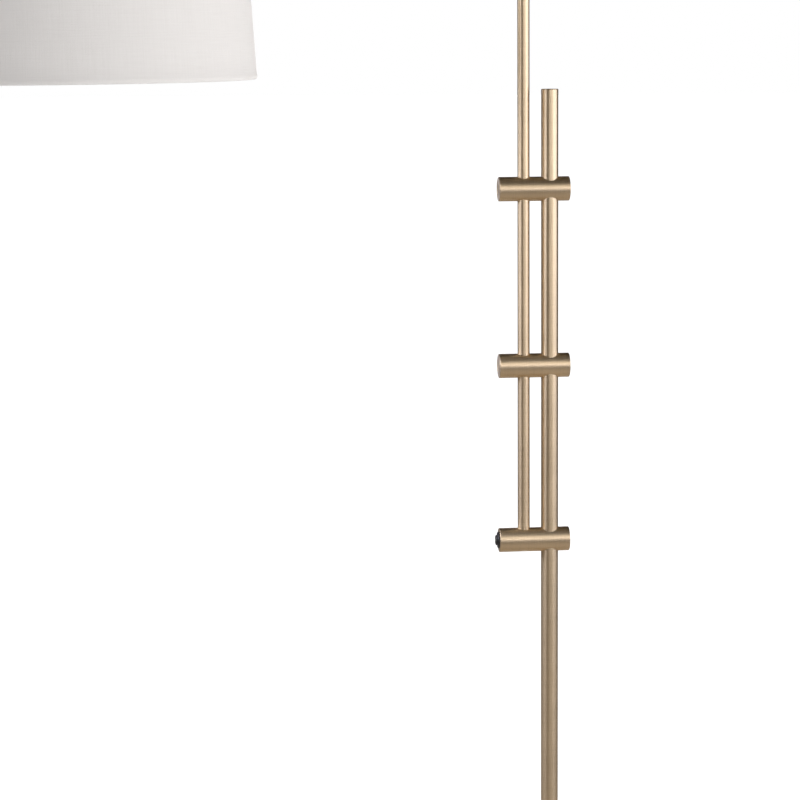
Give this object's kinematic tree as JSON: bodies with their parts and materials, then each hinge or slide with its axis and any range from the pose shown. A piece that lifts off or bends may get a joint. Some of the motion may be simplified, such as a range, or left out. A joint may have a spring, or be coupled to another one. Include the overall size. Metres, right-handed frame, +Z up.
{
  "type": "arc floor lamp",
  "caption": "Adjustable arc floor lamp: a thin bent brass rod carries a linen drum shade and slides on a thick pole, through cross-drilled barrels, above a weighted round base.",
  "frame": {"origin": "centre of the round base's underside, on the floor, on the pole's axis", "axes": "+Z up along the pole, -X from the pole towards the shade, +Y towards the back of the lamp, where the rod's set screws are"},
  "size_m": [0.9623, 0.4946, 2.0976],
  "materials": {
    "brass_pole": "satin brushed, clear lacquered",
    "brass_rod": "satin brushed, clear lacquered",
    "brass_barrel": "satin turned, clear lacquered",
    "brass_fitting": "satin",
    "steel_zinc": "zinc plated",
    "steel_black": "black oxide",
    "iron": "rough cast, black primer",
    "felt": "pressed felt",
    "acetal": "natural acetal",
    "gland_black": "moulded nylon",
    "wire_clear": "soft insulation",
    "ring_white": "white powder coat",
    "linen": "off-white linen weave",
    "liner_white": "white styrene",
    "fibre": "fish-paper fibre",
    "phenolic": "moulded phenolic",
    "contact_brass": "bare",
    "knob_black": "moulded",
    "bulb_glass": "frosted",
    "bulb_cap": "bare rolled"
  },
  "bodies": {
    "stand": {"base_felt": "felt", "base_weight": "iron", "base_cover": "brass_fitting", "base_stud": "steel_zinc", "base_washer": "steel_zinc", "base_nut": "steel_zinc", "foot_collar": "brass_fitting", "foot_plug": "steel_zinc", "lower_pole": "brass_pole", "pole_joiner": "steel_zinc", "upper_pole": "brass_pole", "pole_cap": "brass_pole"},
    "bushes": {"top_bush": "acetal", "middle_bush": "acetal", "lowest_bush": "acetal"},
    "arm": {"top_barrel": "brass_barrel", "middle_barrel": "brass_barrel", "lowest_barrel": "brass_barrel", "drag_screws": "steel_black", "drag_pads": "acetal", "rod_screws": "steel_black", "cord_gland": "gland_black", "straight_rod": "brass_rod", "rod_joiner": "steel_zinc", "arc_tube": "brass_rod", "lamp_wire": "wire_clear", "arc_end_plug": "brass_fitting", "hanger_nipple": "contact_brass", "shade_cup": "brass_fitting", "shade_spider": "ring_white", "spider_nut": "brass_fitting", "shade_top_ring": "ring_white", "shade_bottom_ring": "ring_white", "shade_fabric": "linen", "shade_liner": "liner_white", "socket_cap": "brass_fitting", "socket_shell": "brass_fitting", "socket_sleeve": "fibre", "socket_block": "phenolic", "socket_thread": "contact_brass", "socket_contact": "contact_brass", "bulb_glass": "bulb_glass", "bulb_cap": "bulb_cap", "bulb_tip": "contact_brass"},
    "switch": {"switch_shaft": "contact_brass", "switch_knob": "knob_black"}
  },
  "joints": [
    {"name": "arm_height", "type": "slide", "parent": "stand", "child": "bushes", "axis": [0, 0, 1], "range_m": [-0.28, 0.09]},
    {"name": "arm_swivel", "type": "hinge", "parent": "bushes", "child": "arm", "pos_m": [0, 0, 1.2155], "axis": [0, 0, 1], "continuous": true},
    {"name": "switch_turn", "type": "hinge", "parent": "arm", "child": "switch", "pos_m": [-0.55, -0.02, 1.746], "axis": [0, -1, 0], "continuous": true}
  ]
}
